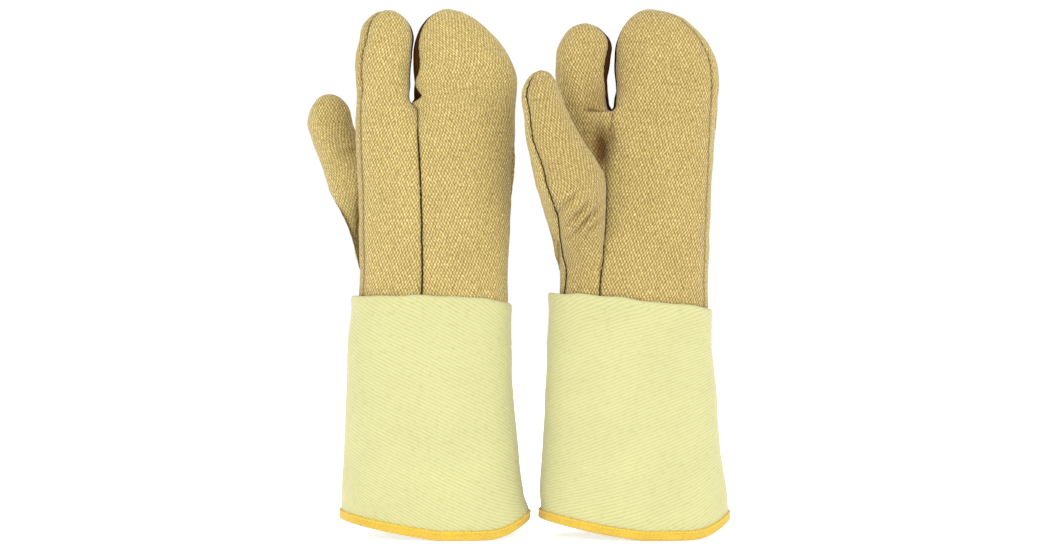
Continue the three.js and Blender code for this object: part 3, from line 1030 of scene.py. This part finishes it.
def make_thumb(glove, column):
    panels = column.pieces
    dip = 1.2 * MM + 0.9 * MM * ramp(column.heights - 0.27, 30 * MM)
    first_seed = 60 + (30 if glove.flip < 0 else 0)
    for number, (kind, panel) in enumerate(panels.items()):
        rows = slice(len(column.heights) - len(panel.heights), None)
        seed = number * 7 + first_seed
        panel.puff(column.centre[rows], (dip[rows], dip[rows]), seed, glove.thumb_hole)
        if kind == "front":
            relieve(panel, thumb_relief(panel.grid))
        else:
            relieve(panel, hollows(panel.grid, THUMB_BACK_HOLLOWS) * (panel.normals[..., 1] > 0))
    front, outer = panels["front"], panels["outer"]
    weld(front, 0, outer, 0, *top_rows(front, outer))
    weld(front, -1, outer, -1, *top_rows(front, outer, glove.thumb_hole + 20 * MM))
    seams = [front.border(0), front.border(-1)]
    joint = ("hand", "thumb", glove.thumb_hole, glove.thumb_low)
    # The thumb's front takes the darker cloth as painted shade; its outer panel keeps the back's
    # cloth.
    looks = {"front": (THUMB_CLOTH, "thumb_palm_panel"), "outer": (CLOTH, "thumb_back_panel")}
    for kind, panel in panels.items():
        panel.flanged()
        cloth, high_node = looks[kind]
        nodes = (["thumb_base_panel"], [high_node, "thumb_root_fold"])
        make_halves(glove, f"thumb_{kind}_cloth", panel, column, THUMB_SPLIT, cloth, nodes, joint)
    make_lining(glove, column, "thumb", joint, glove.thumb_hole, (None, ["thumb_lining"]))
    radii = (0.5 * MM, 0.45 * MM)
    top = column.tip - 7 * MM
    make_seam(glove, "thumb_thread", seams, THUMB_SPLIT, top, radii, joint, THREAD)


def make_lining(glove, column, name, joint, split, nodes):
    """Felt a felt's thickness inside a column's cloth, and further in behind the palm's hollows."""
    lines = [np.concatenate([one[::-1], two[1:]]) for one, two in column.outlines]
    felt = Panel(lines, column.heights, 150 * MM, 3 * MM)
    normals = felt.outward(column.centre)
    hollow = np.minimum(0, palm_relief(glove, felt.grid)) * (normals[..., 1] < 0.1)
    felt.grid = felt.grid - normals * (FELT_DEPTH - hollow)[..., None]
    felt.grid[..., 2] = np.minimum(felt.grid[..., 2], column.tip - FELT_DEPTH)
    felt.sign = -felt.sign
    make_halves(
        glove, f"{name}_felt", felt, column, split, LINING, nodes, joint,
        slot="felt_lining", fill=0.4)


# ---- The gauntlet ----

GAUNTLET_AROUND = 300
STITCH_STEP = 3.3 * MM


def cuff_tilt(x, height, glove):
    """How far the cuff's fold is above its height in the frame. It falls outwards."""
    if glove.side == "right":
        fall = 0.004 * x + 6 * MM * np.maximum(0, x / (66 * MM)) ** 2
        corner = 1.4 * MM
    else:
        fall = 3.4 * MM + 0.115 * x
        corner = 3.2 * MM
    fall += corner * ramp(-x / (66 * MM) - 0.72, 0.28)
    fall += 0.5 * MM * np.sin(x / (8.5 * MM)) + 0.3 * MM * np.sin(x / (4.7 * MM) + 1)
    return -fall * ramp(height - 0.12, glove.cuff_top - 0.12)


def hem_lift(x, centre, half_width, rise):
    """How far the hem is off the table at x. It climbs to both sides."""
    place = (x - centre) / half_width
    thumb_side = 1.55 * np.clip(0.08 - place, 0, None) ** 1.15
    outer_side = 1.55 * np.clip(place - 0.55, 0, None) ** 2 / 0.45 ** 2
    return rise * (thumb_side + outer_side)


def gauntlet_line(glove, height, inset):
    """A line round the gauntlet at one height of the frame, from the little-finger side."""
    left, right, front, back = [glove.at(v, max(height, 0.021)) for v in glove.gauntlet]
    flare = max(0, 0.021 - height) * 0.06
    half_width = (right - left) / 2 + flare - inset
    half_depth = (back - front) / 2 + flare - inset
    centre_x, centre_y = (left + right) / 2, (front + back) / 2
    angle = np.linspace(0, 2 * math.pi, 721)
    power = 2 / ROUNDNESS
    x = centre_x + half_width * np.sign(np.cos(angle)) * np.abs(np.cos(angle)) ** power
    y = centre_y + half_depth * np.sign(np.sin(angle)) * np.abs(np.sin(angle)) ** power
    outer = np.clip((x - centre_x) / half_width, 0, 1)
    thumb_side = np.clip((centre_x - x) / half_width, 0, 1)
    full = bell(height - 0.165, 24 * MM)
    x += 2 * MM * ramp(height - 0.170, 30 * MM) * outer
    above_hem = ramp(height - 0.008, 20 * MM)
    if glove.side == "right":
        narrower = 2.2 * (1 - ramp(height - 0.13, 50 * MM))
        narrower += 1.0 * (1 - ramp(height - 0.05, 30 * MM))
        x -= narrower * MM * above_hem * outer
        x -= (0.6 + 1.2 * full) * MM * above_hem * thumb_side
    else:
        x -= (1.8 + 0.6 * full) * MM * above_hem * thumb_side
    line = np.stack([x, y, np.zeros_like(x)], -1)
    lengths = arc_lengths(line)
    at = np.linspace(0, lengths[-1], GAUNTLET_AROUND + 1)
    line = along_line(line, lengths, at)
    rise = glove.rise * (1 - np.clip((height - 0.009) / 0.063, 0, 1))
    line[:, 2] = height + hem_lift(line[:, 0], centre_x, half_width, rise)
    line[:, 2] += cuff_tilt(line[:, 0], height, glove)
    return line, at


def sleeve_waves(points, seed):
    """The sleeve's soft waves, outwards."""
    return ripple(points, 95 * MM, seed) * 1.2 * MM + ripple(points, 38 * MM, seed + 1) * 0.35 * MM


def gauntlet_grid(glove, profile, seed):
    """A grid round the gauntlet from a profile of (height, inset) pairs."""
    lines, weave = [], []
    run = arc_lengths(np.array(profile))
    for (height, inset), up in zip(profile, run):
        line, at = gauntlet_line(glove, height, inset)
        lines.append(line)
        weave.append(np.stack([at, np.full_like(at, up + profile[0][0])], -1))
    grid = np.array(lines)
    out = grid - grid.mean(1, keepdims=True)
    out[..., 2] = 0
    out /= np.linalg.norm(out, axis=-1, keepdims=True)
    return grid + out * sleeve_waves(grid, seed)[..., None], np.array(weave)


def folded_edge(height, rise, radius, proud, count):
    """A profile's half turn, from outside the sleeve over an edge and inwards."""
    turn = np.radians(np.linspace(0, 180, count))
    return [(height + rise * math.sin(t), -proud + radius - radius * math.cos(t)) for t in turn]


def make_sheet(glove, name, grids, flipped, material, node):
    """A sheet made of grids round the sleeve, which rides on the gauntlet."""
    shape = Shape()
    for grid, weave in grids:
        shape.add_grid(grid, weave, flipped)
    obj = shape.make(name, glove, material)
    stand_for(glove, [node])
    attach(obj, f"{glove.side}_gauntlet")
    return obj


def make_gauntlet(glove):
    fold, top = glove.cuff_bottom, glove.cuff_top
    seed = 11 if glove.side == "left" else 23
    twill = TWILL[glove.side]
    base = 5.5 * MM

    heights = np.arange(base, fold + 0.1 * MM, 2.0 * MM)
    layers = ([(h, 0) for h in heights], [(h, 2.0 * MM) for h in heights[::-1]])
    sleeve = make_sheet(
        glove, "sleeve_twill", [gauntlet_grid(glove, layer, seed) for layer in layers], True,
        twill, "gauntlet_shell")

    start, radius, proud = heights[-1], 2.3 * MM, 0.5 * MM
    climb = np.arange(start + 0.7 * MM, top - radius, 1.0 * MM)
    profile = [(start, 0)] + [(h, -proud * ramp(h - start, 5 * MM)) for h in climb]
    profile += folded_edge(top - radius, radius, radius, proud, 13)
    back_down = np.arange(top - radius - MM, fold - 8 * MM, -1.5 * MM)
    profile += [(h, -proud + 2 * radius) for h in back_down]
    make_sheet(
        glove, "cuff_fold_twill", [gauntlet_grid(glove, profile, seed)], True,
        twill, "cuff_fold")

    profile = [(h, 3.6 * MM) for h in np.arange(top - 6 * MM, base, -2.5 * MM)]
    make_sheet(
        glove, "sleeve_lining", [gauntlet_grid(glove, profile, seed)], True, SLEEVE_LINING,
        "gauntlet_lining")

    proud, wall = 1.2 * MM, 5.6 * MM
    flat_turn = 2.6 * MM
    profile = [(8.9 * MM, 0.2 * MM), (8.7 * MM, -proud * 0.8)]
    profile += [(h, -proud) for h in np.arange(8.0, 2.6, -0.9) * MM]
    profile += folded_edge(flat_turn, -flat_turn, (wall + 2 * proud) / 2, proud, 11)
    profile += [(h, wall + proud) for h in np.arange(3.5, 8.6, 1.2) * MM]
    profile += [(8.8 * MM, wall)]
    grid, weave = gauntlet_grid(glove, profile, seed)
    pucker = np.sin(weave[..., 0] * 2 * math.pi / STITCH_STEP) * 0.18 * MM
    grid[..., 2] += pucker * bell(grid[..., 2] - grid[..., 2].max(0), 3 * MM)
    make_sheet(
        glove, "hem_tape", [(grid, weave)], False, BINDING,
        "hem_binding")
    make_hem_stitches(glove, proud, seed)


def make_hem_stitches(glove, proud, seed):
    """One arched stitch after another round the hem tape."""
    shape = Shape()
    line, at = gauntlet_line(glove, 7.4 * MM, -proud)
    for start in np.arange(0, at[-1] - 2.4 * MM, STITCH_STEP):
        path = along_line(line, at, start + np.linspace(0, 2.3, 5) * MM)
        out = path.mean(0) - line.mean(0)
        out[2] = 0
        out /= np.linalg.norm(out)
        arch = np.array([-0.25, 0.2, 0.3, 0.2, -0.25]) * MM
        path = path + out * (sleeve_waves(path, seed) + arch)[:, None]
        shape.add_tube(path, np.array([0.25, 0.4, 0.42, 0.4, 0.25]) * MM)
    stitches = shape.make("hem_stitches", glove, YELLOW_THREAD)
    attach(stitches, f"{glove.side}_gauntlet")


for side in ("right", "left"):
    glove = Glove(side)
    make_gauntlet(glove)
    make_hand(glove)


# ---- Floor, light and camera ----

def make_floor(size=6.0):
    """A white floor that gives off a little light, as a studio's sweep does."""
    mesh = bpy.data.meshes.new("floor")
    corners = [(-size, -size, 0), (size, -size, 0), (size, size, 0), (-size, size, 0)]
    mesh.from_pydata(corners, [], [(0, 1, 2, 3)])
    material = bpy.data.materials.new("floor")
    material.use_nodes = True
    looks = {
        "Base Color": (0.97, 0.97, 0.97, 1), "Roughness": 0.9,
        "Emission Color": (1, 1, 1, 1), "Emission Strength": 0.6}
    for key, value in looks.items():
        material.node_tree.nodes["Principled BSDF"].inputs[key].default_value = value
    mesh.materials.append(material)
    floor = bpy.data.objects.new("floor", mesh)
    bpy.context.scene.collection.objects.link(floor)


CAMERA_DISTANCE = 2.2
CAMERA_HEIGHT = 0.2251
CAMERA_ACROSS = -0.0012
VIEW_WIDTH = 0.899

make_floor()
world = bpy.data.worlds.new("studio")
bpy.context.scene.world = world
world.use_nodes = True
world.node_tree.nodes["Background"].inputs["Color"].default_value = (1, 1, 1, 1)
world.node_tree.nodes["Background"].inputs["Strength"].default_value = 1.0
# name, energy, tilt from straight down, turn about the vertical
LIGHTS = (("front", 0.7, 50, -8), ("left", 1.45, 65, -56), ("right", 1.65, 65, 56))
for light_name, energy, tilt, turn in LIGHTS:
    light = bpy.data.lights.new(light_name, "SUN")
    light.energy = energy
    light.angle = math.radians(60)
    light_object = bpy.data.objects.new(light_name, light)
    light_object.rotation_euler = (math.radians(tilt), 0, math.radians(turn))
    bpy.context.scene.collection.objects.link(light_object)
bpy.context.scene.view_settings.view_transform = "Standard"

camera = bpy.data.cameras.new("camera")
camera.sensor_width = 36
camera.lens = 36 * CAMERA_DISTANCE / VIEW_WIDTH
camera_object = bpy.data.objects.new("camera", camera)
camera_object.location = (CAMERA_ACROSS, -CAMERA_DISTANCE, CAMERA_HEIGHT)
camera_object.rotation_euler = (math.pi / 2, 0, 0)
bpy.context.scene.collection.objects.link(camera_object)
bpy.context.scene.camera = camera_object
